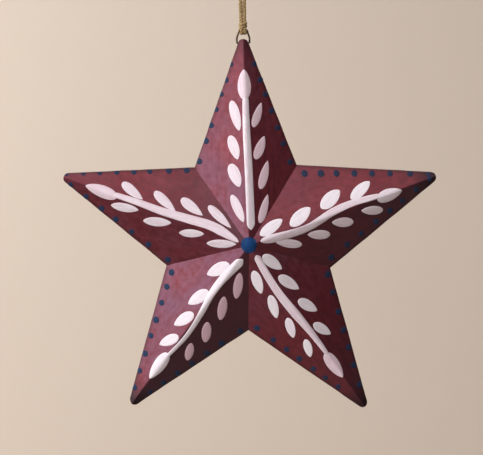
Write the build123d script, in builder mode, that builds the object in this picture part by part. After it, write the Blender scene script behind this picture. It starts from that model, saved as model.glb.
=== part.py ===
"""Folk star ornament of tinplate: folded points soldered into a hollow star, on a wire bail and twine."""

import os
from math import asin, atan2, cos, hypot, pi, radians, sin, tan

from build123d import *

# Sizes in millimetres. The star hangs in the XZ plane and its front faces -Y.
# The origin is under the top of the twine loop, where a nail carries the ornament.

# Star outline, cut by hand. Reaches run from the centre to where the two edges of a point would meet.
TOP_REACH = 72.1
LEFT_REACH = 69.4
LOWER_LEFT_REACH = 72.2
LOWER_RIGHT_REACH = 74.1
RIGHT_REACH = 71.4
TIP_ROUND = 1.75  # a tip is rounded off to this radius

# Centre to the notches between the points
UPPER_NOTCH_REACH = 30.9  # on both sides of the top point
LEFT_NOTCH_REACH = 28.8
LOWER_NOTCH_REACH = 30.9
RIGHT_NOTCH_REACH = 30.0

# Directions of tips and notches seen from the front, in degrees from the right
TOP_ANGLE = 90.0
LEFT_ANGLE = 159.3
LOWER_LEFT_ANGLE = 233.5
LOWER_RIGHT_ANGLE = 304.0
RIGHT_ANGLE = 17.7
UPPER_NOTCH_ANGLE = 34.2  # from the top point's ridge to the notch on each side of it
LEFT_NOTCH_ANGLE = 195.5
LOWER_NOTCH_ANGLE = 269.4
RIGHT_NOTCH_ANGLE = 340.5

# Tinplate
SHEET = 0.4  # thickness
FLANGE_DEPTH = 1.25  # seam plane to the fold at the edge of the outline
PEAK_RISE = 13.0  # fold at the edge to the peak in the middle
FOLD_RADIUS = 0.55  # outside radius of the folds at the edge and along the ridge

# Solder
SEAM = 0.3  # thickness of the solder between the two halves
BEAD_RADIUS = 0.55  # bead in a valley
BEAD_SINK = 0.25  # the bead's middle lies this far below the valley line
BEAD_SETBACK = 1.2  # the bead stops this far short of the notch
DROP_RADIUS = 4.0  # drop of solder on the peak
DROP_HEIGHT = 0.3  # it stands this far above the peak

# Wire bail
WIRE = 0.65  # wire diameter
AXLE_DROP = 1.4  # top of the tip to the holes in its flanks
HOLE_CLEARANCE = 0.05  # between the wire and its hole, on the radius
LEG_CLEARANCE = 0.1  # between the leg and the flank of the tip
PINTLE_TAIL = 0.4  # wire that reaches into the hollow past the wall
BAIL_RISE = 4.5  # axle to the top of the bail, both at the middle of the wire
SHOULDER_RISE = 1.7  # axle to where the legs start to lean in
BAIL_TOP = 2.6  # width of the top of the bail, corner to corner
PINTLE_BEND = 0.5  # bend radii, at the middle of the wire
SHOULDER_BEND = 1.5
TOP_BEND = 0.6

# Twine
TWINE = 1.1  # strand diameter
STRAND_PITCH = 1.16  # between the two strands where they go round the wire
BIGHT_CLEARANCE = 0.1  # between a strand and the wire that it goes round
WRAP_COUNT = 2  # flat turns that bind the strands above the wire
WRAP_HEIGHT = 0.9
WRAP_WIDTH = 2.4
WRAP_CHAMFER = 0.25  # bevel of a wrap's edges
WRAP_START = 0.5  # middle of the wire to the lowest wrap
LOOP_DROP = 50.0  # nail to the top of the wire
NAIL_RADIUS = 1.35
LOOP_FLAT = 0.04  # straight bit of the strand on top of the nail

# Reach and direction of each tip, and of the notch after it, anticlockwise from the top
POINTS = {
    "top": (TOP_REACH, TOP_ANGLE),
    "left": (LEFT_REACH, LEFT_ANGLE),
    "lower_left": (LOWER_LEFT_REACH, LOWER_LEFT_ANGLE),
    "lower_right": (LOWER_RIGHT_REACH, LOWER_RIGHT_ANGLE),
    "right": (RIGHT_REACH, RIGHT_ANGLE),
}
NOTCHES = (
    (UPPER_NOTCH_REACH, TOP_ANGLE + UPPER_NOTCH_ANGLE),
    (LEFT_NOTCH_REACH, LEFT_NOTCH_ANGLE),
    (LOWER_NOTCH_REACH, LOWER_NOTCH_ANGLE),
    (RIGHT_NOTCH_REACH, RIGHT_NOTCH_ANGLE),
    (UPPER_NOTCH_REACH, TOP_ANGLE - UPPER_NOTCH_ANGLE),
)
TIPS = tuple(POINTS.values())
FRONT = -1
SIDES = ((FRONT, "front"), (-FRONT, "back"))
HANDS = (1, -1)
TOUCH = 0.01  # corners this close to a level lie on it

# Angles and levels that follow from the sizes
upper_along = UPPER_NOTCH_REACH * cos(radians(UPPER_NOTCH_ANGLE))
upper_across = UPPER_NOTCH_REACH * sin(radians(UPPER_NOTCH_ANGLE))
peak_level = FLANGE_DEPTH + PEAK_RISE
top_half_angle = atan2(upper_across, TOP_REACH - upper_along)
top_tip_reach = TOP_REACH - TIP_ROUND * (1 / sin(top_half_angle) - 1)
wire_top_z = -LOOP_DROP - WIRE / 2
axle_z = wire_top_z - BAIL_RISE
star_z = axle_z + AXLE_DROP - top_tip_reach
flank = (TOP_REACH - top_tip_reach + AXLE_DROP) * tan(top_half_angle)  # half the tip's width at the holes
knot_top_z = wire_top_z + WRAP_START + WRAP_COUNT * WRAP_HEIGHT
seam_plane = Plane(origin=(0, 0, star_z), x_dir=(1, 0, 0), z_dir=(0, FRONT, 0))

os.makedirs("parts", exist_ok=True)


def star_spot(mark, side, level):
    """Place of a tip or notch, given by reach and direction, at a level on one side of the seam plane."""
    reach, angle = mark
    return Vector(reach * cos(radians(angle)), side * level, star_z + reach * sin(radians(angle)))


def edge_marks(index, hand, side):
    """The notch and the unrounded tip at the two ends of one edge of a point, at the level of its fold."""
    notch = NOTCHES[index] if hand > 0 else NOTCHES[index - 1]
    return star_spot(notch, side, FLANGE_DEPTH), star_spot(TIPS[index], side, FLANGE_DEPTH)


def point_prism(index, side, inset, start, end):
    """Prism of one point: the sector between two valleys, cut by the two walls moved in by inset."""
    far = 2 * TIPS[index][0]
    turns = [radians(angle) for _, angle in (NOTCHES[index - 1], NOTCHES[index])]
    corners = [(0, 0)] + [(far * cos(turn), far * sin(turn)) for turn in turns]
    with BuildPart() as prism:
        with BuildSketch(seam_plane.offset(FRONT * side * start)):
            with BuildLine():
                Polyline(*corners, close=True)
            make_face()
        extrude(amount=end - start, dir=(0, side, 0))
        for hand in HANDS:
            notch, tip = edge_marks(index, hand, side)
            outward = seam_plane.z_dir.cross(tip - notch).normalized() * hand
            split(bisect_by=Plane(origin=notch - outward * inset, z_dir=outward), keep=Keep.BOTTOM)
        tip_edge = prism.edges().filter_by(Axis.Y).sort_by_distance(seam_plane.origin)[-1]
        fillet(tip_edge, radius=TIP_ROUND - inset)
    return prism.part


def folded_solid(index, side, inset=0, start=0):
    """Solid under one folded point: its prism, cut by its two faces moved in by inset."""
    peak = star_spot((0, 0), side, peak_level)
    with BuildPart() as solid:
        add(point_prism(index, side, inset, start, peak_level))
        for hand in HANDS:
            notch, tip = edge_marks(index, hand, side)
            outward = (peak - notch).cross(tip - notch).normalized() * hand * FRONT * side
            split(bisect_by=Plane(origin=notch - outward * inset, z_dir=outward), keep=Keep.BOTTOM)
    return solid.part


def bail_holes():
    """The two holes in the flanks of the top point, as one bar along the axle."""
    with BuildPart() as bar:
        with Locations((0, 0, axle_z)):
            Cylinder(WIRE / 2 + HOLE_CLEARANCE, 4 * flank, rotation=(0, 90, 0))
    return bar.part


def on_fold(edge):
    """True for the edges of the outline, where a face turns into the flange."""
    return all(FLANGE_DEPTH - TOUCH < abs(corner.Y) < peak_level - TOUCH for corner in edge.vertices())


# Folded points: the inner faces lie one sheet below the outer ones, and the ridge is the longest edge
for side, side_name in SIDES:
    for index, point_name in enumerate(POINTS):
        with BuildPart() as point:
            add(folded_solid(index, side, start=SEAM / 2))
            ridge = point.edges().sort_by(SortBy.LENGTH)[-1]
            fillet(point.edges().filter_by(on_fold) + [ridge], radius=FOLD_RADIUS)
            add(folded_solid(index, side, inset=SHEET), mode=Mode.SUBTRACT)
            if point_name == "top":
                add(bail_holes(), mode=Mode.SUBTRACT)
        point.part.label = f"{side_name}_point_{point_name}"
        export_step(point.part, f"parts/{point.part.label}.step")

# Solder beads along the valleys of each side, with a drop over the peak
for side, side_name in SIDES:
    with BuildPart() as seam_solder:
        for reach, angle in NOTCHES:
            low_level = FLANGE_DEPTH + BEAD_SETBACK * PEAK_RISE / reach - BEAD_SINK
            low = star_spot((reach - BEAD_SETBACK, angle), side, low_level)
            high = star_spot((0, angle), side, peak_level - BEAD_SINK)
            with BuildLine() as bead:
                Line(low, high)
            with BuildSketch(Plane(origin=bead.line @ 0, z_dir=bead.line % 0)):
                Circle(BEAD_RADIUS)
            sweep(path=bead.line)
        with Locations(star_spot((0, 0), side, peak_level + DROP_HEIGHT - DROP_RADIUS)):
            Sphere(DROP_RADIUS)
        for index in range(len(TIPS)):
            add(folded_solid(index, side), mode=Mode.SUBTRACT)
    seam_solder.part.label = f"{side_name}_seam_solder"
    export_step(seam_solder.part, f"parts/{seam_solder.part.label}.step")

# Solder in the seam round the edge, as wide as the sheet and open at the holes for the bail
with BuildPart() as rim_solder:
    for index in range(len(TIPS)):
        add(point_prism(index, FRONT, 0, -SEAM / 2, SEAM / 2))
    for index in range(len(TIPS)):
        add(point_prism(index, FRONT, SHEET, -SEAM, SEAM), mode=Mode.SUBTRACT)
    add(bail_holes(), mode=Mode.SUBTRACT)
rim_solder.part.label = "rim_solder"
export_step(rim_solder.part, "parts/rim_solder.step")

# Wire bail: a pintle into each flank, a leg up each side of the tip and a straight top
leg_x = flank + LEG_CLEARANCE + WIRE / 2
pintle_x = flank - SHEET / cos(top_half_angle) - PINTLE_TAIL
right_leg = [(pintle_x, 0), (leg_x, 0), (leg_x, SHOULDER_RISE), (BAIL_TOP / 2, BAIL_RISE)]
left_leg = [(-x, rise) for x, rise in reversed(right_leg)]
leg_bends = [PINTLE_BEND, SHOULDER_BEND, TOP_BEND]
with BuildPart() as wire_bail:
    with BuildLine() as bail_line:
        corners = [(x, 0, axle_z + rise) for x, rise in right_leg + left_leg]
        FilletPolyline(*corners, radius=leg_bends + leg_bends[::-1])
    with BuildSketch(Plane(origin=bail_line.line @ 0, z_dir=bail_line.line % 0)):
        Circle(WIRE / 2)
    sweep(path=bail_line.line)
wire_bail.part.label = "wire_bail"
export_step(wire_bail.part, "parts/wire_bail.step")

# Twine knot: two turns side by side round the top of the wire, bound above it by flat wraps
bight_radius = WIRE / 2 + BIGHT_CLEARANCE + TWINE / 2
bight_end_z = wire_top_z + WRAP_START + WRAP_HEIGHT / 2


def knot_wrap(start_z):
    """One flat turn of twine that binds the strands, with bevelled edges."""
    with BuildPart() as wrap:
        with BuildSketch(Plane.XY.offset(start_z)):
            RectangleRounded(WRAP_WIDTH, 2 * bight_radius + TWINE, TWINE)
        extrude(amount=WRAP_HEIGHT)
        chamfer(wrap.edges().filter_by(Plane.XY), length=WRAP_CHAMFER)
    return wrap.part


with BuildPart() as twine_knot:
    for hand in HANDS:
        x = hand * STRAND_PITCH / 2
        with BuildLine() as bight:
            front = Line((x, -bight_radius, bight_end_z), (x, -bight_radius, wire_top_z))
            lowest = (x, 0, wire_top_z - bight_radius)
            under = ThreePointArc(front @ 1, lowest, (x, bight_radius, wire_top_z))
            Line(under @ 1, (x, bight_radius, bight_end_z))
        with BuildSketch(Plane(origin=bight.line @ 0, z_dir=bight.line % 0)):
            Circle(TWINE / 2)
        sweep(path=bight.line)
    for index in range(WRAP_COUNT):
        add(knot_wrap(wire_top_z + WRAP_START + index * WRAP_HEIGHT))
twine_knot.part.label = "twine_knot"
export_step(twine_knot.part, "parts/twine_knot.step")

# Twine loop: one taut strand from the knot over the nail and back
loop_radius = NAIL_RADIUS + TWINE / 2
loop_top_z = TWINE / 2
foot_x = STRAND_PITCH / 2
foot_z = knot_top_z - TWINE / 2  # the strand starts inside the knot and is cut off square on top of it
strand_lean = asin((loop_radius - foot_x) / hypot(loop_top_z - foot_z, loop_radius))
corner_x = loop_radius * tan((pi / 2 + strand_lean) / 2) + LOOP_FLAT / 2
route = [(-foot_x, 0, foot_z), (-corner_x, 0, loop_top_z), (corner_x, 0, loop_top_z), (foot_x, 0, foot_z)]
with BuildPart() as twine_loop:
    with BuildLine() as loop_line:
        FilletPolyline(*route, radius=[loop_radius, loop_radius])
    with BuildSketch(Plane(origin=loop_line.line @ 0, z_dir=loop_line.line % 0)):
        Circle(TWINE / 2)
    sweep(path=loop_line.line)
    split(bisect_by=Plane.XY.offset(knot_top_z), keep=Keep.TOP)
twine_loop.part.label = "twine_loop"
export_step(twine_loop.part, "parts/twine_loop.step")

strand_length = loop_line.wires()[0].length - 2 * (knot_top_z - foot_z) / cos(strand_lean)
print(f"twine loop: length {strand_length:.2f} mm, arc radius {loop_radius:.2f} mm on the nail")
strand_volume = pi * TWINE**2 / 4 * strand_length
print(f"twine loop: volume {twine_loop.part.volume:.2f}, section x length {strand_volume:.2f}")
print(f"twine knot: turns of {bight_radius:.2f} mm radius round the wire")
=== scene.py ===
"""Painted tin star ornament: hand-folded points, painted sprays, solder, wire and twine."""

import math
import random

import bmesh
import bpy
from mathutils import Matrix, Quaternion, Vector, noise
from mathutils.bvhtree import BVHTree
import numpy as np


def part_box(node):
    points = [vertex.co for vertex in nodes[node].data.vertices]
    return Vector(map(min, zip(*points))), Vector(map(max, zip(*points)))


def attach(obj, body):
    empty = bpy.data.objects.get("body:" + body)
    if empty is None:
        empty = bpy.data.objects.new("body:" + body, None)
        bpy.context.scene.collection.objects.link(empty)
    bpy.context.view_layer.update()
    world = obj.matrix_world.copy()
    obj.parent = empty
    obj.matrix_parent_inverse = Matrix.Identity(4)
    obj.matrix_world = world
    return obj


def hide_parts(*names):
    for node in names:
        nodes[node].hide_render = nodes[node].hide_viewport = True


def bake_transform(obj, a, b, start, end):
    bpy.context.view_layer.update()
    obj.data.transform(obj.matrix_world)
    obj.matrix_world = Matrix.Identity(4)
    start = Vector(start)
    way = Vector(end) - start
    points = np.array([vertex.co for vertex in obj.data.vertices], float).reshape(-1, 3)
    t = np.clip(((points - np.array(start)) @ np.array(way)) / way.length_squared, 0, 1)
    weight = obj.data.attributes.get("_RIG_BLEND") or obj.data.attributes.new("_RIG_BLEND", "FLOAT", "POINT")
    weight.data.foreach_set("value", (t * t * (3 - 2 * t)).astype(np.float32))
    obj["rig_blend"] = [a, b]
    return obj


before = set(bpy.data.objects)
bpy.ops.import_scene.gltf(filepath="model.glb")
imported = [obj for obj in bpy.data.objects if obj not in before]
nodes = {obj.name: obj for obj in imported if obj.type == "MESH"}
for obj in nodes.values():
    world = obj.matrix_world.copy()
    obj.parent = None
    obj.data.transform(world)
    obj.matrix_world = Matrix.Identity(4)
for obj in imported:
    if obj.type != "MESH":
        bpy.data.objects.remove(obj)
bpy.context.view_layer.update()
SEED = 7
draw = random.Random(SEED)
MM = 0.001

# Sizes in millimetres. The points and the paint are laid out on a star of even angles, the regular star.
REACHES = {"top": 72.1, "left": 70.1, "lower_left": 71.7, "lower_right": 71.7, "right": 70.1}
NOTCH_REACH = 30.2
TIP_ROUND = 1.75
SHEET = 0.4  # thickness of the tin
SEAM = 0.3  # gap between the front and the back flanges
FLANGE_DEPTH = 1.25
PEAK_RISE = 13.0
FOLD_ROUND = 0.5  # how far the fold at the flange is rounded to each side
RIDGE_ROUND = 0.16  # how far the ridge is
CROWN = 0.35  # the faces swell by this much halfway down
DENT = 0.12  # depth of the dents that folding by hand leaves
DENT_SPAN = 13.0
SMALL_DENT_SHARE, SMALL_DENT_FINENESS = 0.5, 2.3  # smaller dents, against the others
CUT_WOBBLE = 0.12  # the outline is cut by hand
WOBBLE_FINENESS = 2  # against the dents
SOLDER_WIPE = 0.27  # how far the solder in the valleys is wiped down

# The star as it is cut: reach and direction in degrees of each tip, and of the notch to the left of it
TIPS = {
    "top": (72.1, 90.0),
    "left": (69.4, 159.3),
    "lower_left": (72.2, 233.5),
    "lower_right": (74.1, 304.0),
    "right": (71.4, 17.7),
}
NOTCHES = {
    "top": (30.9, 124.2),
    "left": (28.8, 195.5),
    "lower_left": (30.9, 269.4),
    "lower_right": (30.0, 340.5),
    "right": (30.9, 55.8),
}
# How worn the paint of each face is at its inner and its outer end, with painted sheen and shade set face by
# face to how the face is lit: 1 is dusty, which is also painted sheen on the lit faces, 0 plain, and -1 deep,
# which is also painted shade on the shaded faces
WEAR_AND_SHADING = {
    ("top", 1): (0.85, 0.20),
    ("top", -1): (-0.20, 0.45),
    ("left", 1): (0.20, 0.30),
    ("left", -1): (-0.80, 0.45),
    ("lower_left", 1): (-0.70, -1.00),
    ("lower_left", -1): (0.95, 0.65),
    ("lower_right", 1): (0.75, -0.85),
    ("lower_right", -1): (0.45, -0.45),
    ("right", 1): (0.45, -0.30),
    ("right", -1): (-0.20, -1.00),
}
# How dark the painted shade at each tip is, strongest on the tips that face away from the light, and how far
# from the tip it starts and is full
TIP_SHADE = {"top": 0.35, "left": 0.0, "lower_left": 0.95, "lower_right": 0.85, "right": 0.9}
TIP_SHADE_START, TIP_SHADE_FULL = 8.0, 1.5
# The point to the right of each one, which has their common notch on its left
NEXT_RIGHT = {
    "top": "right",
    "left": "top",
    "lower_left": "left",
    "lower_right": "lower_left",
    "right": "lower_right",
}
TOP_TIP_REACH = 68.845  # centre of the star to the end of the rounded top tip

# The regular star's layout
HALF_STEP = math.radians(36)
NOTCH_ALONG = NOTCH_REACH * math.cos(HALF_STEP)
NOTCH_ACROSS = NOTCH_REACH * math.sin(HALF_STEP)
FRONT, BACK = -1, 1  # sides of the star, along y
SIDES = {"front": FRONT, "back": BACK}
HANDS = (1, -1)  # left and right of a ridge

# Cells of a point's surface: across it, along it to the notches, and on to the tip
CELLS_ACROSS = 36
CELLS_TO_NOTCH = 18
CELLS_TO_TIP = 38
CELL_SPREAD = 1.5  # cells are narrower towards the ridge
AT_OUTLINE = 0.999  # share of the width from which a place is on the outline
FOLD_SEGMENTS = 3
MERGE = 1e-6  # metres
SHARP_ANGLE = math.radians(38)

star_centre = Vector((0, 0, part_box("front_point_top")[1].z - TOP_TIP_REACH * MM))


def tip_angle(reach):
    """Half the angle between the two edges of a point of the regular star."""
    return math.atan2(NOTCH_ACROSS, reach - NOTCH_ALONG)


def tip_reach(reach):
    """Centre of the regular star to the end of a rounded tip."""
    return reach - TIP_ROUND / math.sin(tip_angle(reach)) + TIP_ROUND


def add_object(name, data):
    """Puts a new object in the scene, at the origin."""
    made = bpy.data.objects.new(name, data)
    bpy.context.scene.collection.objects.link(made)
    return made


# Camera, at the angle of the photograph
IMAGE_WIDTH, IMAGE_HEIGHT = 483, 455
SENSOR = 36.0
CAMERA_AZIMUTH = math.radians(-2.0)
CAMERA_ELEVATION = math.radians(6.5)
CAMERA_ROLL = math.radians(-1.2)
CAMERA_DISTANCE = 0.70
PIXELS_PER_MM = 2.915
STAR_PIXEL = (247.3, 240.5)  # where the centre of the star lies in the picture


def make_camera():
    """A long lens, aimed so that the star lies where the picture shows it."""
    flat = math.cos(CAMERA_ELEVATION)
    aside, ahead = math.sin(CAMERA_AZIMUTH) * flat, math.cos(CAMERA_AZIMUTH) * flat
    back = Vector((aside, -ahead, math.sin(CAMERA_ELEVATION)))
    turn = (-back).to_track_quat("-Z", "Y") @ Quaternion((0, 0, 1), CAMERA_ROLL)
    across = (STAR_PIXEL[0] - IMAGE_WIDTH / 2) / PIXELS_PER_MM * MM
    above = (STAR_PIXEL[1] - IMAGE_HEIGHT / 2) / PIXELS_PER_MM * MM
    aim = star_centre + turn @ Vector((-across, above, 0))
    data = bpy.data.cameras.new("camera")
    data.sensor_width = SENSOR
    data.lens = PIXELS_PER_MM / MM * CAMERA_DISTANCE * SENSOR / IMAGE_WIDTH
    camera = add_object("camera", data)
    camera.location = aim + back * CAMERA_DISTANCE
    camera.rotation_euler = turn.to_euler()
    bpy.context.scene.camera = camera


# Building materials from nodes


def new_finish(name):
    """A node material, its tree and its shader."""
    material = bpy.data.materials.new(name)
    material.use_nodes = True
    return material, material.node_tree, material.node_tree.nodes["Principled BSDF"]


def put(tree, kind, sockets=None, **settings):
    """Adds a node. A socket is given a value or, from another node's output, a link."""
    node = tree.nodes.new(kind)
    for key, value in settings.items():
        setattr(node, key, value)
    for key, value in (sockets or {}).items():
        if isinstance(value, bpy.types.NodeSocket):
            tree.links.new(value, node.inputs[key])
        else:
            node.inputs[key].default_value = value
    return node


def attribute(tree, name, output="Fac"):
    """Output of a piece's own attribute."""
    return put(tree, "ShaderNodeAttribute", attribute_name=name).outputs[output]


def own_place(tree):
    """Output of the place on a piece, in metres."""
    return put(tree, "ShaderNodeTexCoord").outputs["Object"]


def reckon(tree, operation, first, second=0.0):
    """Output of a maths node."""
    return put(tree, "ShaderNodeMath", {0: first, 1: second}, operation=operation).outputs[0]


def blend_of(tree, first, second, share):
    """Two values mixed, with that share of the second."""
    rest = reckon(tree, "MULTIPLY", first, 1 - share)
    return reckon(tree, "ADD", rest, reckon(tree, "MULTIPLY", second, share))


def spread(tree, value, low, high, to_low=0.0, to_high=1.0):
    """Output of a node that stretches a range of values to another."""
    sockets = {"Value": value, "From Min": low, "From Max": high, "To Min": to_low, "To Max": to_high}
    return put(tree, "ShaderNodeMapRange", sockets).outputs[0]


def tint(tree, share, first, second):
    """Output of a node that mixes two colours, its sockets 6 and 7, into its output 2."""
    node = put(tree, "ShaderNodeMix", {"Factor": share}, data_type="RGBA")
    for socket, colour in ((node.inputs[6], first), (node.inputs[7], second)):
        if isinstance(colour, bpy.types.NodeSocket):
            tree.links.new(colour, socket)
        else:
            socket.default_value = (*colour, 1)
    return node.outputs[2]


def grain(tree, vector, scale, detail=4.0):
    """Output of a noise: scale gives how fine it is along each axis, in spans per metre."""
    stretched = put(tree, "ShaderNodeMapping", {"Vector": vector, "Scale": scale}).outputs[0]
    sockets = {"Vector": stretched, "Scale": 1.0, "Detail": detail}
    return put(tree, "ShaderNodeTexNoise", sockets).outputs["Fac"]


def raise_bumps(tree, shader, height, depth):
    """Joins a height to the shader as bumps of that depth in millimetres."""
    bumps = put(tree, "ShaderNodeBump", {"Height": height, "Distance": depth * MM, "Strength": 1.0})
    tree.links.new(bumps.outputs[0], shader.inputs["Normal"])


def dress(piece, material):
    """Gives a piece or a node its one material."""
    piece.data.materials.clear()
    piece.data.materials.append(material)


# Finishes. Depths are in millimetres, and a noise is given in spans per metre along each axis.

# Paint on the tin
# Deep paint, which is also painted shade on the shaded faces
MAROON_DEEP_AND_SHADE = (0.064, 0.027, 0.037)
MAROON_DARK = (0.104, 0.019, 0.026)
MAROON_RED = (0.176, 0.027, 0.036)
# Dusty paint, which is also painted sheen on the lit faces
MAROON_DUST_AND_SHEEN = (0.165, 0.064, 0.098)
# Painted shade, along the fold at the edge and towards the tips
RIM_SHADE = (0.020, 0.009, 0.012)
TIN_SHINE = 0.4  # share of the tin's own shine that the thin paint lets through
PAINT_SPECULAR = 0.24
PAINT_ROUGHNESS = (0.46, 0.54)
ROUGHNESS_CLOUDS = 0.04
BRUSH_DEPTH = 0.04
FINE_BRUSH_SHARE = 0.5
# How strong the dust and painted sheen can get
FULL_DUST_AND_SHEEN = 1.2
EDGE_SHADE = 0.4  # how dark the painted shade along the fold at the edge is
EDGE_SHADE_FULL, EDGE_SHADE_END = 0.1, 1.2  # millimetres in from the edge
EDGE_WAVER = 0.4  # how far its border wavers
# Its noises run along a point, across it, and from point to point
STREAKS = (110, 1000, 40)
FINE_STREAKS = (160, 3600, 40)
CLOUDS = (70, 110, 40)
MOTTLE = (420, 560, 40)
BRUSH_MOTTLE, DUST_AND_SHEEN_MOTTLE = 0.5, 0.38  # shares of the mottle in the brushwork and in the dust and painted sheen
MOST_OF_NOISE = (0.3, 0.7)  # a noise seldom goes beyond these
BRUSH_RANGE = (0.36, 0.64)
DUST_AND_SHEEN_RANGE = (0.38, 0.62)
# Paint on the solder
SOLDER_LUMPS = (500, 500, 500)
SOLDER_ROUGHNESS = (0.45, 0.60)
SOLDER_DEPTH = 0.1
# Paint of the strokes, whose noises run along a stroke and across it
PALE_THIN = (0.72, 0.56, 0.62)
PALE_FULL = (0.79, 0.715, 0.765)
# Watered pale paint, mauve; on the leaves of shaded faces it is painted shade
PALE_MAUVE_AND_SHADE = (0.72, 0.45, 0.53)
PALE_THICK = (0.88, 0.80, 0.85)
BLUE_THIN = (0.030, 0.021, 0.040)
BLUE_FULL = (0.018, 0.030, 0.073)
# Watered blue, dull and redder, made as painted shade for dots on shaded faces
BLUE_DULL_AND_SHADE = (0.048, 0.022, 0.036)
BLUE_THICK = (0.008, 0.032, 0.085)
CENTRE_BLUE = (0.007, 0.050, 0.175)
STROKE_ROUGHNESS = 0.6
STROKE_SPECULAR = 0.15
BRISTLES = (170, 2600, 1)
CLOTS = (420, 900, 1)
CLOT_SHARE = 0.3
COVER_RANGE = (0.36, 0.56)
BRISTLE_DEPTH = 0.12
# Wire
WIRE_BROWN = (0.045, 0.028, 0.016)
WIRE_RUBBED = (0.20, 0.14, 0.085)
WIRE_PATCHES = (900, 900, 500)
WIRE_RANGE = (0.42, 0.66)
WIRE_GLOSS_RANGE = (0.35, 0.70)
WIRE_ROUGHNESS = (0.50, 0.32)
WIRE_METALLIC = 0.85
WIRE_DEPTH = 0.05
# Jute
JUTE_DARK = (0.12, 0.066, 0.026)
JUTE_PALE = (0.59, 0.415, 0.205)
JUTE_GREY = (0.26, 0.165, 0.080)
JUTE_FIBRES = (6000, 6000, 1500)
JUTE_PATCHES = (500, 500, 260)
FIBRE_RANGE = (0.32, 0.66)
PATCH_RANGE = (0.45, 0.75)
PATCH_SHARE = 0.6
JUTE_ROUGHNESS = 0.85
JUTE_SPECULAR = 0.2
FIBRE_DEPTH = 0.1


def painted_tin():
    """Maroon paint brushed along each point, dusty where it is worn, with painted sheen and painted shade set
    face by face, and painted shade along the edge and at the tips.
    """
    material, tree, shader = new_finish("painted_tin")
    place = attribute(tree, "arm", "Vector")
    streaks = grain(tree, place, STREAKS, detail=6)
    fine = grain(tree, place, FINE_STREAKS, detail=3)
    clouds = grain(tree, place, CLOUDS, detail=3)
    mottle = grain(tree, place, MOTTLE, detail=5)
    brushwork = blend_of(tree, streaks, mottle, BRUSH_MOTTLE)
    colour = tint(tree, spread(tree, brushwork, *BRUSH_RANGE), MAROON_DARK, MAROON_RED)
    # Dust with painted sheen, and deep paint with painted shade, face by face
    wear_and_shading = attribute(tree, "wear_and_shading")
    broken = spread(tree, blend_of(tree, clouds, mottle, DUST_AND_SHEEN_MOTTLE), *DUST_AND_SHEEN_RANGE)
    dust_and_sheen = reckon(tree, "MULTIPLY", spread(tree, wear_and_shading, 0.0, 1.0, 0.0, FULL_DUST_AND_SHEEN), broken)
    colour = tint(tree, dust_and_sheen, colour, MAROON_DUST_AND_SHEEN)
    colour = tint(tree, spread(tree, wear_and_shading, 0.0, -1.0), colour, MAROON_DEEP_AND_SHADE)
    # Painted shade along the fold at the edge
    waver = spread(tree, clouds, *MOST_OF_NOISE, -EDGE_WAVER * MM, EDGE_WAVER * MM)
    from_edge = reckon(tree, "ADD", attribute(tree, "rim"), waver)
    at_edge = spread(tree, from_edge, EDGE_SHADE_FULL * MM, EDGE_SHADE_END * MM, EDGE_SHADE, 0.0)
    colour = tint(tree, at_edge, colour, RIM_SHADE)
    # Painted shade towards the tips
    colour = tint(tree, attribute(tree, "tip_shade"), colour, RIM_SHADE)
    tree.links.new(colour, shader.inputs["Base Color"])
    brushed = spread(tree, streaks, *MOST_OF_NOISE, *PAINT_ROUGHNESS)
    cloudy = spread(tree, clouds, *MOST_OF_NOISE, -ROUGHNESS_CLOUDS, ROUGHNESS_CLOUDS)
    tree.links.new(reckon(tree, "ADD", brushed, cloudy), shader.inputs["Roughness"])
    shader.inputs["Metallic"].default_value = TIN_SHINE
    shader.inputs["Specular IOR Level"].default_value = PAINT_SPECULAR
    marks = reckon(tree, "ADD", streaks, reckon(tree, "MULTIPLY", fine, FINE_BRUSH_SHARE))
    raise_bumps(tree, shader, marks, BRUSH_DEPTH)
    return material


def painted_solder():
    """The same paint over rough solder."""
    material, tree, shader = new_finish("painted_solder")
    lumps = grain(tree, own_place(tree), SOLDER_LUMPS, detail=3)
    tree.links.new(tint(tree, lumps, MAROON_RED, MAROON_DUST_AND_SHEEN), shader.inputs["Base Color"])
    rough = spread(tree, lumps, *MOST_OF_NOISE, *SOLDER_ROUGHNESS)
    tree.links.new(rough, shader.inputs["Roughness"])
    shader.inputs["Metallic"].default_value = TIN_SHINE
    shader.inputs["Specular IOR Level"].default_value = PAINT_SPECULAR
    raise_bumps(tree, shader, lumps, SOLDER_DEPTH)
    return material


def stroke_paint(name, thin, full, watered_and_shade, thick):
    """Paint laid with a small brush: bristle marks run along each stroke, on its own map in metres.

    A stroke's load is -1 where the paint is watered and 1 where it is thick. Face by face it is also set to
    the light: the watered colour stands in for shade on shaded faces, and thick paint brightens others as
    painted light.
    """
    material, tree, shader = new_finish(name)
    run = put(tree, "ShaderNodeUVMap", uv_map="stroke").outputs[0]
    bristles = grain(tree, run, BRISTLES, detail=3)
    clots = grain(tree, run, CLOTS, detail=2)
    cover = blend_of(tree, bristles, clots, CLOT_SHARE)
    load_and_shading = attribute(tree, "load_and_shading")
    more = spread(tree, load_and_shading, 0.0, 1.0)
    between = tint(tree, more, thin, full)
    on_top = tint(tree, more, full, thick)
    colour = tint(tree, spread(tree, cover, *COVER_RANGE), between, on_top)
    colour = tint(tree, spread(tree, load_and_shading, 0.0, -1.0), colour, watered_and_shade)
    tree.links.new(colour, shader.inputs["Base Color"])
    shader.inputs["Roughness"].default_value = STROKE_ROUGHNESS
    shader.inputs["Specular IOR Level"].default_value = STROKE_SPECULAR
    raise_bumps(tree, shader, cover, BRISTLE_DEPTH)
    return material


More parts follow.
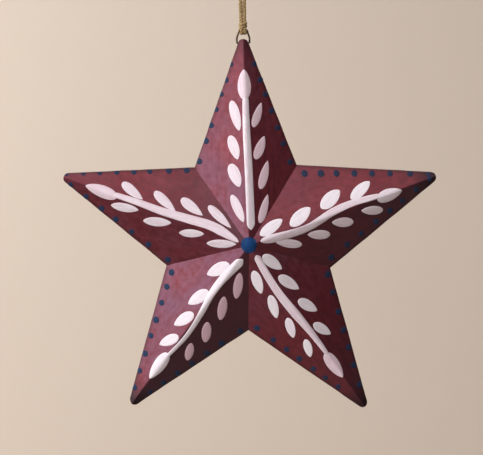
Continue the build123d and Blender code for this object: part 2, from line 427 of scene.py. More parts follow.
def dark_wire():
    """Annealed wire, browned and a little bright where it is rubbed."""
    material, tree, shader = new_finish("dark_wire")
    rubbed = grain(tree, own_place(tree), WIRE_PATCHES, detail=3)
    colour = tint(tree, spread(tree, rubbed, *WIRE_RANGE), WIRE_BROWN, WIRE_RUBBED)
    tree.links.new(colour, shader.inputs["Base Color"])
    rough = spread(tree, rubbed, *WIRE_GLOSS_RANGE, *WIRE_ROUGHNESS)
    tree.links.new(rough, shader.inputs["Roughness"])
    shader.inputs["Metallic"].default_value = WIRE_METALLIC
    raise_bumps(tree, shader, rubbed, WIRE_DEPTH)
    return material


def jute():
    """Twisted jute, fibres of several browns."""
    material, tree, shader = new_finish("jute")
    place = own_place(tree)
    fibres = grain(tree, place, JUTE_FIBRES, detail=3)
    patches = grain(tree, place, JUTE_PATCHES, detail=2)
    colour = tint(tree, spread(tree, fibres, *FIBRE_RANGE), JUTE_DARK, JUTE_PALE)
    colour = tint(tree, spread(tree, patches, *PATCH_RANGE, 0.0, PATCH_SHARE), colour, JUTE_GREY)
    tree.links.new(colour, shader.inputs["Base Color"])
    shader.inputs["Roughness"].default_value = JUTE_ROUGHNESS
    shader.inputs["Specular IOR Level"].default_value = JUTE_SPECULAR
    raise_bumps(tree, shader, fibres, FIBRE_DEPTH)
    return material


# Folded points


def as_cut(mark):
    """Place in the star's plane of a reach and a direction."""
    reach, angle = mark
    return Vector((reach * math.cos(math.radians(angle)), reach * math.sin(math.radians(angle))))


def arm_point(name, along, across, side, height):
    """Place in the frame of a spot laid out along a regular point's ridge and across it, to the left.

    Each face is stretched onto the star as it is cut.
    """
    notch = NOTCHES[name if across > 0 else NEXT_RIGHT[name]]
    to_notch = abs(across) / NOTCH_ACROSS
    to_tip = (along - to_notch * NOTCH_ALONG) / REACHES[name]
    flat = as_cut(TIPS[name]) * to_tip + as_cut(notch) * to_notch
    return star_centre + Vector((flat.x, side * height, flat.y)) * MM


def half_width(along, reach):
    """Half the width of a point's outline at a distance along its ridge."""
    if along <= NOTCH_ALONG:
        return along * math.tan(HALF_STEP)
    angle = tip_angle(reach)
    middle = reach - TIP_ROUND / math.sin(angle)
    if along <= middle + TIP_ROUND * math.sin(angle):
        return (reach - along) * math.tan(angle)
    return math.sqrt(max(TIP_ROUND**2 - (along - middle) ** 2, 0))


def face_height(along, across, reach):
    """Height of a point's two faces above the seam, with a rounded ridge and a slight swell."""
    across = math.hypot(across, RIDGE_ROUND)
    down = along / reach + across * (reach - NOTCH_ALONG) / (reach * NOTCH_ACROSS)
    down = min(max(down, 0), 1)
    return FLANGE_DEPTH + PEAK_RISE * (1 - down) + CROWN * math.sin(math.pi * down)


def row_along(row, reach):
    """Distance along the ridge of one row of cells, closer together towards the tip."""
    if row <= CELLS_TO_NOTCH:
        return NOTCH_ALONG * row / CELLS_TO_NOTCH
    left = 1 - (row - CELLS_TO_NOTCH) / CELLS_TO_TIP
    return NOTCH_ALONG + (tip_reach(reach) - NOTCH_ALONG) * (1 - left**2)


def hand_work(spot, side):
    """Small wander of the sheet at a spot: dents in its height, and a wobble in its plane.

    The vectors that are added only keep the four noises and the two sides apart.
    """
    at = Vector((spot.x, spot.z, 0)) / (DENT_SPAN * MM)
    wobble_x = noise.noise(at * WOBBLE_FINENESS + Vector((9, 2, 4)))
    wobble_z = noise.noise(at * WOBBLE_FINENESS + Vector((3, 8, 5)))
    dent = noise.noise(at + Vector((0, 0, 7 * side)))
    dent += SMALL_DENT_SHARE * noise.noise(at * SMALL_DENT_FINENESS + Vector((5, 1, 6 * side)))
    return (Vector((wobble_x, 0, wobble_z)) * CUT_WOBBLE + Vector((0, dent * DENT, 0))) * MM


def wear_and_shading_at(name, share, across):
    """How worn the paint is, with its painted sheen and shade, at a share of the way along a point, on the
    face that across lies on.
    """
    hands = [hand for hand in HANDS if hand * across >= 0]
    face_tones = [WEAR_AND_SHADING[name, hand][0] * (1 - share) + WEAR_AND_SHADING[name, hand][1] * share for hand in hands]
    return sum(face_tones) / len(face_tones)


def finish_mesh(bm, name):
    """Turns a bmesh into an object at the origin, smooth except at its sharp and its open edges."""
    mesh = bpy.data.meshes.new(name)
    bm.edges.index_update()
    open_edges = [edge.index for edge in bm.edges if edge.is_boundary]
    bm.to_mesh(mesh)
    bm.free()
    mesh.shade_smooth()
    mesh.set_sharp_from_angle(angle=SHARP_ANGLE)
    for index in open_edges:
        mesh.edges[index].use_edge_sharp = True
    return add_object(name, mesh)


def face_outwards(bm, side):
    """Turns an open surface so that it faces out of its side of the star."""
    bmesh.ops.recalc_face_normals(bm, faces=bm.faces)
    if sum(face.normal.y * face.calc_area() for face in bm.faces) * side < 0:
        bmesh.ops.reverse_faces(bm, faces=bm.faces)


def lay_out_faces(bm, name, side):
    """Makes the two faces of a point from a grid, with what the paint has to know of each place on them."""
    reach = REACHES[name]
    angle = tip_angle(reach)
    rows = CELLS_TO_NOTCH + CELLS_TO_TIP
    layer = list(REACHES).index(name) + 0.5 * side  # keeps the brush marks of the points apart
    outline = bm.verts.layers.int.new("outline")
    arm = bm.verts.layers.float_vector.new("arm")
    rim = bm.verts.layers.float.new("rim")
    wear_and_shading = bm.verts.layers.float.new("wear_and_shading")
    tip_shade = bm.verts.layers.float.new("tip_shade")
    bmesh.ops.create_grid(bm, x_segments=CELLS_ACROSS, y_segments=rows, size=1)
    for vert in bm.verts:
        share = math.copysign(abs(vert.co.x) ** CELL_SPREAD, vert.co.x)
        row = round((vert.co.y + 1) / 2 * rows)
        along = row_along(row, reach)
        across = share * half_width(along, reach)
        vert[outline] = row == rows or (row >= CELLS_TO_NOTCH and abs(share) > AT_OUTLINE)
        vert[arm] = Vector((along * MM, across * MM, layer))
        # Wear with the painted sheen and painted shade of its face
        vert[wear_and_shading] = wear_and_shading_at(name, along / reach, across)
        # Painted shade towards the tip
        to_end = (TIP_SHADE_START - tip_reach(reach) + along) / (TIP_SHADE_START - TIP_SHADE_FULL)
        vert[tip_shade] = TIP_SHADE[name] * min(max(to_end, 0), 1)
        vert[rim] = math.cos(angle) * ((reach - along) * math.tan(angle) - abs(across)) * MM
        spot = arm_point(name, along, across, side, face_height(along, across, reach))
        vert.co = spot + hand_work(spot, side)
    bmesh.ops.remove_doubles(bm, verts=bm.verts, dist=MERGE)


def turn_flange(bm, side):
    """Turns the outer edges of a point back to the seam and rounds the fold."""
    outline = bm.verts.layers.int["outline"]
    folds = [edge for edge in bm.edges if edge.is_boundary and all(vert[outline] for vert in edge.verts)]
    flange = bmesh.ops.extrude_edge_only(bm, edges=folds)["geom"]
    for vert in flange:
        if isinstance(vert, bmesh.types.BMVert):
            vert.co.y = side * SEAM / 2 * MM
            vert[outline] = 0
    face_outwards(bm, side)
    folds = [edge for edge in bm.edges if not edge.is_boundary and all(vert[outline] for vert in edge.verts)]
    bmesh.ops.bevel(bm, geom=folds, offset=FOLD_ROUND * MM, offset_type="OFFSET", segments=FOLD_SEGMENTS,
                    profile=0.5, affect="EDGES", material=-1, clamp_overlap=True)


def fold_point(name, side):
    """Outer surface of one folded point, with its flange."""
    bm = bmesh.new()
    lay_out_faces(bm, name, side)
    turn_flange(bm, side)
    return bm


def make_points(canvas):
    """Replaces the ten folded points. The front ones are added to the surface that the paint lies on."""
    finish = painted_tin()
    for name in REACHES:
        for side_name, side in SIDES.items():
            node = f"{side_name}_point_{name}"
            piece = finish_mesh(fold_point(name, side), f"tin_{node}")
            if side == FRONT:
                canvas.from_mesh(piece.data)
            wall = piece.modifiers.new("sheet", "SOLIDIFY")
            wall.thickness = SHEET * MM
            wall.offset = -1
            dress(piece, finish)
            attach(piece, "star")
            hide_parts(node)


def wipe_solder(canvas):
    """Replaces the solder in the valleys: the same beads, wiped down until they hardly stand above the tin.

    The front ones are added to the surface that the paint lies on. The solder of the rim is painted as it is.
    """
    finish = painted_solder()
    for side_name, side in SIDES.items():
        node = f"{side_name}_seam_solder"
        bm = bmesh.new()
        bm.from_mesh(nodes[node].data)
        bmesh.ops.remove_doubles(bm, verts=bm.verts, dist=MERGE)
        bmesh.ops.translate(bm, verts=bm.verts, vec=(0, -side * SOLDER_WIPE * MM, 0))
        bmesh.ops.recalc_face_normals(bm, faces=bm.faces)
        beads = finish_mesh(bm, f"wiped_{node}")
        if side == FRONT:
            canvas.from_mesh(beads.data)
        dress(beads, finish)
        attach(beads, "star")
        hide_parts(node)
    dress(nodes["rim_solder"], finish)


# Painted strokes. Places on a point are along its ridge and across it, positive to the left of its tip.

# Stems: places, widths at the inner end, further out and at the bud, and the length of the inner taper
STEMS = {
    "top": (((5, -0.9), (25, -0.6), (39, -0.2), (49.5, -0.2)), (3.0, 2.7, 2.1), 2),
    "left": (((3.6, 0.1), (13, -1.7), (21, -1.4), (31, -0.7), (40, -0.7), (49, -0.4)), (3.5, 2.7, 1.8), 7),
    "lower_left": (((5, 1.1), (14, -0.3), (21, -0.4), (29, 0.7), (38, 1.2), (48, 0)), (3.4, 2.0, 1.2), 2.2),
    "lower_right": (((4, 0), (12, -1), (20, -1.3), (28, -0.8), (36.5, -0.2), (46, 0)), (2.4, 3.2, 1.4), 1.6),
    "right": (((4, 0), (13, -1.1), (21, -1.2), (30, 0.7), (37.5, 1.2), (47, 0.4)), (3.1, 2.5, 1.7), 4),
}
# Buds: inner end, outer end, place across, width, and how thick the paint is
BUDS = {
    "top": (48.5, 58.7, 0.1, 4.8, -0.3),
    "left": (47.5, 59, 0.1, 4.5, -0.3),
    "lower_left": (46.5, 57.5, -0.3, 4.4, 0.6),
    "lower_right": (45, 55.5, -0.4, 4.5, -0.4),
    "right": (45.5, 54.5, -0.5, 4.4, 0.0),
}
# How thick the paint of each stem is: -1 is watered and 1 is thick
STEM_LOADS = {"top": 0.0, "left": -0.2, "lower_left": 0.8, "lower_right": -0.2, "right": -0.15}
# Leaves on each hand of a stem, from the bud inwards: along, across, length, width, lean in degrees
LEAVES = {
    ("top", 1): (
        (43, 3.4, 10.2, 3.6, 13), (32.3, 4.2, 8.2, 3.8, 16),
        (23, 4.1, 8, 4.3, 20), (12, 3.5, 9.6, 3.4, 23),
    ),
    ("top", -1): (
        (43, 4.2, 8.5, 3.1, 21), (32, 4.8, 8.1, 3.6, 24),
        (22.7, 6, 9.6, 3.3, 17), (11.5, 5.6, 9.7, 3, 18),
    ),
    ("left", 1): (
        (44, 2.7, 9.7, 3.4, 11), (32, 3.5, 9.8, 3.5, 17),
        (19.7, 3.1, 8.7, 3.1, 19), (9, 2.9, 10.2, 3.2, 20),
    ),
    ("left", -1): (
        (43, 3.5, 8.8, 3.4, 18), (31.4, 4, 9.4, 3.4, 22),
        (22, 5.3, 9, 3.6, 17), (12, 5.4, 10.3, 3.2, 24),
    ),
    ("lower_left", 1): (
        (42, 5.4, 6.4, 3.1, 23), (33, 6.1, 7.4, 3.5, 30),
        (23, 5.6, 8.5, 3.4, 27), (13.5, 5.3, 9.2, 3.4, 28),
    ),
    ("lower_left", -1): (
        (43, 2.6, 7.6, 3.5, 26), (34, 2.8, 8.2, 3.8, 20),
        (25, 3.2, 8.6, 4, 19), (13.2, 3.4, 8.8, 4.2, 26),
    ),
    ("lower_right", 1): (
        (38, 3.5, 7.3, 3.4, 22), (28.6, 4.2, 7.8, 3.6, 23),
        (18.4, 3.5, 8.5, 3.7, 21), (9.5, 3, 8.2, 3.8, 18),
    ),
    ("lower_right", -1): (
        (40.5, 4.3, 6.6, 3, 20), (31.3, 5.1, 7.4, 3.3, 19),
        (22, 5.6, 8.4, 3.5, 20), (12, 5.1, 8.4, 3.7, 17),
    ),
    ("right", 1): (
        (41.3, 4, 8.6, 3.6, 20), (30.8, 4.6, 8.6, 4.4, 21),
        (19.3, 2.8, 8.9, 4.2, 20), (9, 2.8, 9, 3.6, 14),
    ),
    ("right", -1): (
        (43, 3.5, 7.6, 3.2, 19), (32.3, 3.8, 7.5, 3.5, 20),
        (23.5, 5, 7.9, 3.4, 21), (13, 4.2, 9.2, 3.1, 27),
    ),
}
# How a stroke closes at its ends: 0.5 is round and 1 is a straight point
ROUND_END = 0.5
BUD_POINT = 0.72
STEM_POINT = 0.5
STEM_MIDDLE = 0.6  # share of a stem's length where its second width is
# How the leaves of each face close at their outer and their inner end
LEAF_ENDS = {
    ("top", 1): (0.50, 0.66),
    ("top", -1): (0.78, 0.52),
    ("left", 1): (0.66, 0.74),
    ("left", -1): (0.48, 0.85),
    ("lower_left", 1): (0.58, 0.58),
    ("lower_left", -1): (0.74, 0.52),
    ("lower_right", 1): (0.74, 0.52),
    ("lower_right", -1): (0.68, 0.52),
    ("right", 1): (0.66, 0.58),
    ("right", -1): (0.52, 0.70),
}
# How thick the paint of the leaves of each face is, set face by face to the light on it: watered mauve paint
# is painted shade on shaded faces, and thick pale paint brightens other faces as painted light
LEAF_LOADS_AND_SHADING = {
    ("top", 1): -0.10,
    ("top", -1): -0.50,
    ("left", 1): 0.00,
    ("left", -1): -0.12,
    ("lower_left", 1): -0.80,
    ("lower_left", -1): 0.40,
    ("lower_right", 1): 0.70,
    ("lower_right", -1): 0.90,
    ("right", 1): 1.00,
    ("right", -1): -0.10,
}
# Dots beside the two edges of a point: how many, where the first and the last lie along the ridge, how far
# in from the edge the first and the last are, and their spacing: 1 is even, less is closer towards the tip
DOT_ROWS = {
    ("top", 1): (7, 27, 60, 0.6, -0.1, 0.9),
    ("top", -1): (7, 25.6, 60, 1.7, 0.7, 0.92),
    ("left", 1): (7, 25, 64, 1.9, 0.6, 0.92),
    ("left", -1): (8, 27, 66.5, 0.6, -0.1, 0.96),
    ("lower_left", 1): (7, 26.5, 61.5, 1.4, 1.1, 0.92),
    ("lower_left", -1): (8, 25.2, 63.5, 2.2, 0.4, 1.05),
    ("lower_right", 1): (7, 25.3, 61.2, 1.5, 1.1, 1.0),
    ("lower_right", -1): (7, 25.7, 57.7, 2.4, 1.5, 0.95),
    ("right", 1): (8, 26, 64.8, 2.4, 0.5, 1.08),
    ("right", -1): (8, 25.5, 64.5, 2.7, 1.9, 0.92),
}
# How thick the paint of the dots of each face is, partly set to the light: thickest and bluest on the two
# faces that are lit most
DOT_LOADS_AND_SHADING = {
    ("top", 1): 0.5,
    ("top", -1): 0.1,
    ("left", 1): 0.3,
    ("left", -1): 0.3,
    ("lower_left", 1): 0.3,
    ("lower_left", -1): 0.9,
    ("lower_right", 1): 0.2,
    ("lower_right", -1): 0.2,
    ("right", 1): 0.1,
    ("right", -1): 0.3,
}
DOT_RADIUS_NOTCH, DOT_RADIUS_TIP = 1.1, 0.95
DOT_SIZES = (0.9, 1.1)  # smallest and largest dot, against those radii
DOT_STRAY = 0.3
CENTRE_DOT_RADIUS = 2.75
STROKE_FULLNESS = 0.94  # share of a leaf's or stem's drawn width that the paint covers
# Heights of the paint
LEAF_RELIEF = 0.16
STEM_RELIEF = 0.30
BUD_RELIEF = 0.22
DOT_RELIEF = 0.12
RELIEF_AT_RIM = 0.35  # share of the relief that a stroke keeps at its rim
PAINT_SINK = 0.05  # how far the underside of a stroke lies in the tin
END_STEEPNESS, STEM_END_STEEPNESS = 6, 24  # the higher, the closer to its end a stroke stays full
# Cells of a stroke, along it and across it
LEAF_CELLS = (18, 10)
STEM_CELLS = (90, 12)
DOT_CELLS = (6, 6)
BEFORE_STAR = 0.05  # metres in front of the seam, from where the paint is laid on
NUDGE = 0.01  # step that shows a stroke's direction, as a share of half its length
STROKE_MERGE = 1e-7  # metres


def lay_on(surface, spot):
    """Place and normal on the painted surface behind a spot, or nearest to it where it is off the outline."""
    place, normal, _, _ = surface.ray_cast(Vector((spot.x, -BEFORE_STAR, spot.z)), Vector((0, 1, 0)))
    if place is None:
        place, normal, _, _ = surface.find_nearest(spot)
    return place, normal


def end_shape(share, outer, inner):
    """Part of a leaf's greatest width at a share of its length, from -1 at its inner end to 1."""
    widest = (inner - outer) / (inner + outer)
    full = (1 - widest) ** outer * (1 + widest) ** inner
    return max(1 - share, 0) ** outer * max(1 + share, 0) ** inner / full


def stroke_bmesh():
    """A bmesh for strokes of paint, with the layers that they use."""
    bm = bmesh.new()
    bm.loops.layers.uv.new("stroke")
    bm.verts.layers.float_vector.new("top")
    bm.verts.layers.float.new("load_and_shading")
    return bm


def lay_stroke(bm, surface, name, line, shape, relief, cells, load_and_shading=0.0):
    """Adds one raised stroke of paint. For -1 to 1, line gives its place and shape half its width."""
    run = bm.loops.layers.uv["stroke"]
    top = bm.verts.layers.float_vector["top"]
    load_and_shading_layer = bm.verts.layers.float["load_and_shading"]
    made = bmesh.ops.create_grid(bm, x_segments=cells[0], y_segments=cells[1], size=1)["verts"]
    origin = Vector((draw.uniform(0, 1), draw.uniform(0, 1)))
    for vert in made:
        share, side = math.sin(vert.co.x * math.pi / 2), vert.co.y
        course = line(share + NUDGE) - line(share - NUDGE)
        course.normalize()
        aside = side * shape(share)
        spot = line(share) + Vector((-course.y, course.x)) * aside
        place, normal = lay_on(surface, arm_point(name, spot.x, spot.y, FRONT, FLANGE_DEPTH))
        swell = math.sqrt(max(1 - side**2, 0) * max(1 - share**END_STEEPNESS, 0))
        vert[load_and_shading_layer] = load_and_shading
        vert.co = place - normal * PAINT_SINK * MM
        vert[top] = place + normal * (relief * (RELIEF_AT_RIM + (1 - RELIEF_AT_RIM) * swell) * MM)
        for loop in vert.link_loops:
            loop[run].uv = origin + Vector((spot.x, aside)) * MM
    faces = list(dict.fromkeys(face for vert in made for face in vert.link_faces))
    lifted = bmesh.ops.extrude_face_region(bm, geom=faces, use_keep_orig=True)["geom"]
    for vert in lifted:
        if isinstance(vert, bmesh.types.BMVert):
            vert.co = vert[top]


def finish_paint(bm, name, material):
    """Closes a group of strokes and hangs it on the star."""
    bmesh.ops.remove_doubles(bm, verts=bm.verts, dist=STROKE_MERGE)
    bmesh.ops.recalc_face_normals(bm, faces=bm.faces)
    piece = finish_mesh(bm, name)
    dress(piece, material)
    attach(piece, "star")


def leaf_line(along, across, length, lean):
    """Straight course of a leaf through its middle."""
    step = Vector((math.cos(lean), math.sin(lean))) * length / 2
    return lambda share: Vector((along, across)) + step * share


def leaf_shape(half, outer, inner):
    """Half the width of a leaf along its course, from its greatest half and how its ends close."""
    return lambda share: half * end_shape(share, outer, inner)


def stem_line(places):
    """Smooth course of a stem through its places."""
    last = len(places) - 1

    def line(share):
        where = (share + 1) / 2 * last
        index = min(max(int(where), 0), last - 1)
        near = [min(max(index + step, 0), last) for step in (-1, 0, 1, 2)]
        before, start, end, after = (Vector(places[place]) for place in near)
        part = where - index
        bend = 2 * before - 5 * start + 4 * end - after
        twist = 3 * start - before - 3 * end + after
        return start + (end - before) * part / 2 + bend * part**2 / 2 + twist * part**3 / 2

    return line


def stem_shape(length, widths, taper):
    """Half the width of a stem along its course, from its three widths and its inner taper."""
    inner_width, middle_width, outer_width = widths

    def shape(share):
        gone = max(share + 1, 0) / 2
        if gone < STEM_MIDDLE:
            width = inner_width + (middle_width - inner_width) * gone / STEM_MIDDLE
        else:
            width = outer_width + (middle_width - outer_width) * (1 - gone) / (1 - STEM_MIDDLE)
        inner_end = min(gone * length / taper, 1) ** STEM_POINT
        outer_end = math.sqrt(max(1 - share**STEM_END_STEEPNESS, 0))
        return STROKE_FULLNESS * width / 2 * (inner_end * outer_end)

    return shape


def paint_spray(surface, name, material):
    """A stem with its bud and four pairs of leaves on one point."""
    bm = stroke_bmesh()
    places, widths, taper = STEMS[name]
    shape = stem_shape(places[-1][0] - places[0][0], widths, taper)
    lay_stroke(bm, surface, name, stem_line(places), shape, STEM_RELIEF, STEM_CELLS, STEM_LOADS[name])
    inner, outer, across, width, load_and_shading = BUDS[name]
    line = leaf_line((inner + outer) / 2, across, outer - inner, 0)
    shape = leaf_shape(STROKE_FULLNESS * width / 2, BUD_POINT, ROUND_END)
    lay_stroke(bm, surface, name, line, shape, BUD_RELIEF, LEAF_CELLS, load_and_shading)
    for hand in HANDS:
        for along, across, length, width, lean in LEAVES[name, hand]:
            line = leaf_line(along, hand * across, length, hand * math.radians(lean))
            shape = leaf_shape(STROKE_FULLNESS * width / 2, *LEAF_ENDS[name, hand])
            lay_stroke(bm, surface, name, line, shape, LEAF_RELIEF, LEAF_CELLS, LEAF_LOADS_AND_SHADING[name, hand])
    finish_paint(bm, f"leaf_spray_{name}", material)


def lay_dot(bm, surface, name, along, across, radius, cells, load_and_shading=0.0):
    """Adds one round dot of paint."""
    line = leaf_line(along, across, 2 * radius, draw.uniform(0, math.pi))
    shape = leaf_shape(radius, ROUND_END, ROUND_END)
    lay_stroke(bm, surface, name, line, shape, DOT_RELIEF, cells, load_and_shading)


def paint_dots(surface, name, material):
    """Blue dots beside the two edges of one point."""
    bm = stroke_bmesh()
    reach = REACHES[name]
    angle = tip_angle(reach)
    for hand in HANDS:
        count, first, last, first_inset, last_inset, spacing = DOT_ROWS[name, hand]
        for index in range(count):
            share = index / (count - 1)
            along = first + (last - first) * share**spacing + draw.uniform(-DOT_STRAY, DOT_STRAY)
            inset = (first_inset + (last_inset - first_inset) * share) / math.cos(angle)
            across = (reach - along) * math.tan(angle) - inset
            radius = DOT_RADIUS_NOTCH + (DOT_RADIUS_TIP - DOT_RADIUS_NOTCH) * share
            radius *= draw.uniform(*DOT_SIZES)
            lay_dot(bm, surface, name, along, hand * across, radius, DOT_CELLS, DOT_LOADS_AND_SHADING[name, hand])
    finish_paint(bm, f"edge_dots_{name}", material)


def paint_star(surface):
    """All the painted ornament of the front."""
    pale = stroke_paint("pale_paint", PALE_THIN, PALE_FULL, PALE_MAUVE_AND_SHADE, PALE_THICK)
    blue = stroke_paint("blue_paint", BLUE_THIN, BLUE_FULL, BLUE_DULL_AND_SHADE, BLUE_THICK)
    bright_blue = stroke_paint("bright_blue_paint", BLUE_THICK, CENTRE_BLUE, BLUE_THICK, CENTRE_BLUE)
    for name in REACHES:
        paint_spray(surface, name, pale)
        paint_dots(surface, name, blue)
    bm = stroke_bmesh()
    lay_dot(bm, surface, "top", 0, 0, CENTRE_DOT_RADIUS, LEAF_CELLS)
    finish_paint(bm, "centre_dot", bright_blue)


# Twine, in millimetres

TWINE = 1.1
PLIES = 3
PLY_PITCH = 3.4
PLY_OFFSET = 0.27  # distance of a ply from the middle of the twine, as a share of its diameter
PLY_RADIUS = 0.33  # also as a share of the twine's diameter
PLY_START = Vector((0.6, 0.5, 0.62))  # a direction that no run of twine has where it starts
# The loop's route. Its two runs lie side by side above the knot and part towards the nail.
LOOP_ROUTE = ((-0.58, 0, -48.575), (-0.60, 0, -36.0), (-1.76, 0, -7.0), (-1.97, 0, 0.55),
              (1.97, 0, 0.55), (1.76, 0, -7.0), (0.60, 0, -36.0), (0.58, 0, -48.575))
TWIST_TOP, TWIST_FOOT = -6.0, -47.5  # the strands wind round each other between these heights
LOOP_HAIRS, KNOT_HAIRS = 70, 5  # loose fibres of the loop, and of each line of the knot
HAIR_RADIUS = 0.018
HAIR_LENGTH = (0.5, 1.3)
HAIR_RISE = 0.8  # most that a hair rises or falls, against 1 to each side
HAIR_CURL = 0.25
HAIR_PLACES = (0, 0.35, 0.7, 1)
BARE_END = 2  # places without hairs at each end of a line
PLY_ROUNDNESS, HAIR_ROUNDNESS = 1, 0
LOOP_FINENESS, BIGHT_FINENESS, WRAP_FINENESS = 160, 12, 4
# The knot has two turns round the wire and a wrap above it. Depths and rises are from the middle of the wire.
WIRE_Z = -50.325
BIGHT_X = 0.58
BIGHT_RADIUS = 0.975
BIGHT_FRONT = ((-0.3, 2.2), (-0.4, 1.4), (-BIGHT_RADIUS, 0.4), (-BIGHT_RADIUS, -0.65))
BIGHT_FOOT = (0, -1.35)
WRAP_FIRST, WRAP_LAST = 0.45, 2.05  # turns, from the right of the knot by way of its back
WRAP_LOW, WRAP_HIGH = 0.75, 2.3
WRAP_HALF_WIDTH, WRAP_HALF_DEPTH = 1.05, 1.3
WRAP_TWINE = 0.85
WRAP_STEPS = 36


def mesh_of(name, curve):
    """Mesh that a curve draws. The curve is removed."""
    holder = add_object(name, curve)
    bpy.context.view_layer.update()
    mesh = bpy.data.meshes.new_from_object(holder)
    bpy.data.objects.remove(holder)
    bpy.data.curves.remove(curve)
    return mesh


def rods(name, runs, radius, roundness):
    """Mesh of round rods of that radius along lines of places, in metres."""
    curve = bpy.data.curves.new(name, "CURVE")
    curve.dimensions = "3D"
    curve.bevel_depth = radius
    curve.bevel_resolution = roundness
    curve.use_fill_caps = True
    for run in runs:
        spline = curve.splines.new("POLY")
        spline.points.add(len(run) - 1)
        for point, place in zip(spline.points, run):
            point.co = (*place, 1)
    return mesh_of(name, curve)


def smooth_line(name, route, fineness):
    """Places along the smooth curve that a route draws, in metres."""
    curve = bpy.data.curves.new(name, "CURVE")
    curve.dimensions = "3D"
    spline = curve.splines.new("NURBS")
    spline.points.add(len(route) - 1)
    for point, place in zip(spline.points, route):
        point.co = (*(Vector(place) * MM), 1)
    spline.order_u = 3
    spline.use_endpoint_u = True
    spline.resolution_u = fineness
    mesh = mesh_of(name, curve)
    line = [vert.co.copy() for vert in mesh.vertices]
    bpy.data.meshes.remove(mesh)
    return line


def twist_plies(line, diameter):
    """Courses of the plies that wind round a line."""
    courses = [[] for _ in range(PLIES)]
    aside = PLY_START
    gone = 0.0
    for index, place in enumerate(line):
        before, after = line[max(index - 1, 0)], line[min(index + 1, len(line) - 1)]
        course = (after - before).normalized()
        aside = (aside - course * aside.dot(course)).normalized()
        up = course.cross(aside)
        gone += (place - before).length
        for ply, places in enumerate(courses):
            turn = 2 * math.pi * (gone / (PLY_PITCH * MM) + ply / PLIES)
            places.append(place + (aside * math.cos(turn) + up * math.sin(turn)) * PLY_OFFSET * diameter * MM)
    return courses


def stray_hairs(line, count):
    """Courses of the loose fibres that stand off a line of twine."""
    courses = []
    for _ in range(count):
        root = line[draw.randrange(BARE_END, len(line) - BARE_END)]
        rise = (-HAIR_RISE, HAIR_RISE)
        lean = Vector((draw.uniform(-1, 1), draw.uniform(-1, 1), draw.uniform(*rise))).normalized()
        curl = Vector((draw.uniform(-1, 1), draw.uniform(-1, 1), draw.uniform(-1, 1))) * HAIR_CURL
        length = draw.uniform(*HAIR_LENGTH) * MM
        courses.append([root + (lean * share + curl * share**2) * length for share in HAIR_PLACES])
    return courses


def spin_twine(name, parts, hairs):
    """One piece of twine from several lines, each with its diameter and that many loose fibres."""
    bm = bmesh.new()
    for line, diameter in parts:
        plies = rods(name, twist_plies(line, diameter), PLY_RADIUS * diameter * MM, PLY_ROUNDNESS)
        loose = rods(name, stray_hairs(line, hairs), HAIR_RADIUS * MM, HAIR_ROUNDNESS)
        for mesh in (plies, loose):
            bm.from_mesh(mesh)
            bpy.data.meshes.remove(mesh)
    bmesh.ops.recalc_face_normals(bm, faces=bm.faces)
    return finish_mesh(bm, name)


def bight_route(x):
    """Places of one turn, down in front of the wire and up behind it."""
    back = [(-depth, rise) for depth, rise in reversed(BIGHT_FRONT)]
    return [(x, depth, WIRE_Z + rise) for depth, rise in (*BIGHT_FRONT, BIGHT_FOOT, *back)]


def wrap_route():
    """Places of the wrap, which winds up round both turns."""
    route = []
    for step in range(WRAP_STEPS + 1):
        share = step / WRAP_STEPS
        turn = 2 * math.pi * (WRAP_FIRST + (WRAP_LAST - WRAP_FIRST) * share)
        rise = WRAP_LOW + (WRAP_HIGH - WRAP_LOW) * share
        route.append((WRAP_HALF_WIDTH * math.cos(turn), WRAP_HALF_DEPTH * math.sin(turn), WIRE_Z + rise))
    return route


def make_knot(material):
    """Two turns side by side round the wire, bound above it."""
    parts = [(smooth_line("bight", bight_route(hand * BIGHT_X), BIGHT_FINENESS), TWINE) for hand in HANDS]
    parts.append((smooth_line("wrap", wrap_route(), WRAP_FINENESS), WRAP_TWINE))
    knot = spin_twine("jute_knot", parts, KNOT_HAIRS)
    dress(knot, material)
    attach(knot, "knot")
    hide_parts("twine_knot")
    return knot


def make_twine():
    """The loop over the nail and the knot on the wire."""
    material = jute()
    knot = make_knot(material)
    line = smooth_line("loop", LOOP_ROUTE, LOOP_FINENESS)
    loop = spin_twine("jute_loop", [(line, TWINE)], LOOP_HAIRS)
    dress(loop, material)
    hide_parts("twine_loop")
    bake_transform(loop, "twine", "knot", start=(0, 0, TWIST_TOP * MM), end=(0, 0, TWIST_FOOT * MM))


# Stage and light, in metres and watts

WALL_COLOUR = (0.82, 0.715, 0.62)
TROWEL_LIFT = 1.04  # the palest patches of the wall, against its colour
TROWEL_MARKS = (5, 5, 5)
WALL_ROUGHNESS = 0.95
WALL_SPECULAR = 0.1
FLOOR_Z = -1.1
WALL_Y = 1.25
STAGE_REACH = 4.0
WALL_HEIGHT = 3.0
SWEEP = 0.3
SWEEP_SEGMENTS = 10
LAMP_SIZE = 0.5
COOL_LIGHT = (0.96, 0.98, 1.0)
ROSY_LIGHT = (1.0, 0.95, 0.93)
WARM_LIGHT = (1.0, 0.97, 0.94)
# Lamps that light the star: azimuth and elevation as seen from it, power and colour
STAR_LAMPS = {"key": (-54, 12, 8.6, COOL_LIGHT), "overhead": (0, 52, 5.8, ROSY_LIGHT)}
STAR_LAMP_DISTANCE = 1.0
# Lamps that light the wall: place, the spot they are aimed at, and power
WALL_LAMPS = {
    "wall_lamp": ((-1.3, 0.55, 0.25), (0.3, WALL_Y, -0.2), 17.5),
    "wall_lamp_right": ((1.6, 0.35, 0.3), (2.6, WALL_Y, -0.3), 14),
    "wall_lamp_left": ((-1.6, 0.35, 0.3), (-2.6, WALL_Y, -0.3), 14),
}
WORLD_LEVEL = 0.05


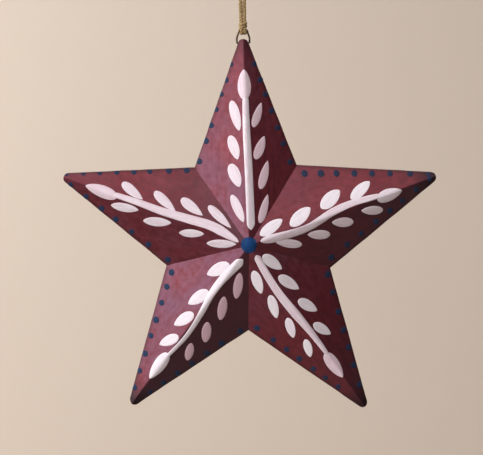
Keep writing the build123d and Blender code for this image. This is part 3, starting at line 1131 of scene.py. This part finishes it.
def make_stage():
    """A pale floor that sweeps up into a wall behind the star."""
    material, tree, shader = new_finish("plaster")
    trowel = grain(tree, own_place(tree), TROWEL_MARKS)
    pale = tuple(TROWEL_LIFT * part for part in WALL_COLOUR)
    tree.links.new(tint(tree, trowel, WALL_COLOUR, pale), shader.inputs["Base Color"])
    shader.inputs["Roughness"].default_value = WALL_ROUGHNESS
    shader.inputs["Specular IOR Level"].default_value = WALL_SPECULAR
    bm = bmesh.new()
    bmesh.ops.create_grid(bm, x_segments=1, y_segments=1, size=STAGE_REACH)
    bmesh.ops.translate(bm, verts=bm.verts, vec=(0, WALL_Y - STAGE_REACH, FLOOR_Z))
    back = [edge for edge in bm.edges if all(vert.co.y > WALL_Y - SWEEP for vert in edge.verts)]
    wall = bmesh.ops.extrude_edge_only(bm, edges=back)["geom"]
    raised = [vert for vert in wall if isinstance(vert, bmesh.types.BMVert)]
    bmesh.ops.translate(bm, verts=raised, vec=(0, 0, WALL_HEIGHT))
    corner = [edge for edge in bm.edges if len(edge.link_faces) == 2]
    bmesh.ops.bevel(bm, geom=corner, offset=SWEEP, offset_type="OFFSET", segments=SWEEP_SEGMENTS,
                    profile=0.5, affect="EDGES", material=-1)
    stage = finish_mesh(bm, "stage")
    dress(stage, material)


def add_lamp(name, place, aim, power, colour):
    """A square soft lamp."""
    data = bpy.data.lights.new(name, "AREA")
    data.size = LAMP_SIZE
    data.energy = power
    data.color = colour
    lamp = add_object(name, data)
    lamp.location = place
    lamp.rotation_euler = (Vector(aim) - Vector(place)).to_track_quat("-Z", "Y").to_euler()
    lamp.visible_camera = False


def lamp_place(azimuth, elevation):
    """Place of a lamp as seen from the star, azimuth 0 in front of it."""
    azimuth, elevation = math.radians(azimuth), math.radians(elevation)
    flat = math.cos(elevation) * STAR_LAMP_DISTANCE
    up = math.sin(elevation) * STAR_LAMP_DISTANCE
    return star_centre + Vector((math.sin(azimuth) * flat, -math.cos(azimuth) * flat, up))


def light_scene():
    """A broad lamp on the left, a weaker one above, three for the wall, and even light from all round."""
    for name, (azimuth, elevation, power, colour) in STAR_LAMPS.items():
        add_lamp(name, lamp_place(azimuth, elevation), star_centre, power, colour)
    for name, (place, aim, power) in WALL_LAMPS.items():
        add_lamp(name, place, aim, power, WARM_LIGHT)
    world = bpy.data.worlds.new("studio")
    bpy.context.scene.world = world
    world.use_nodes = True
    background = world.node_tree.nodes["Background"]
    background.inputs["Color"].default_value = (*COOL_LIGHT, 1)
    background.inputs["Strength"].default_value = WORLD_LEVEL
    bpy.context.scene.view_settings.view_transform = "Standard"


make_camera()
make_twine()
canvas = bmesh.new()
make_points(canvas)
wipe_solder(canvas)
paint_star(BVHTree.FromBMesh(canvas))
canvas.free()
dress(nodes["wire_bail"], dark_wire())
make_stage()
light_scene()
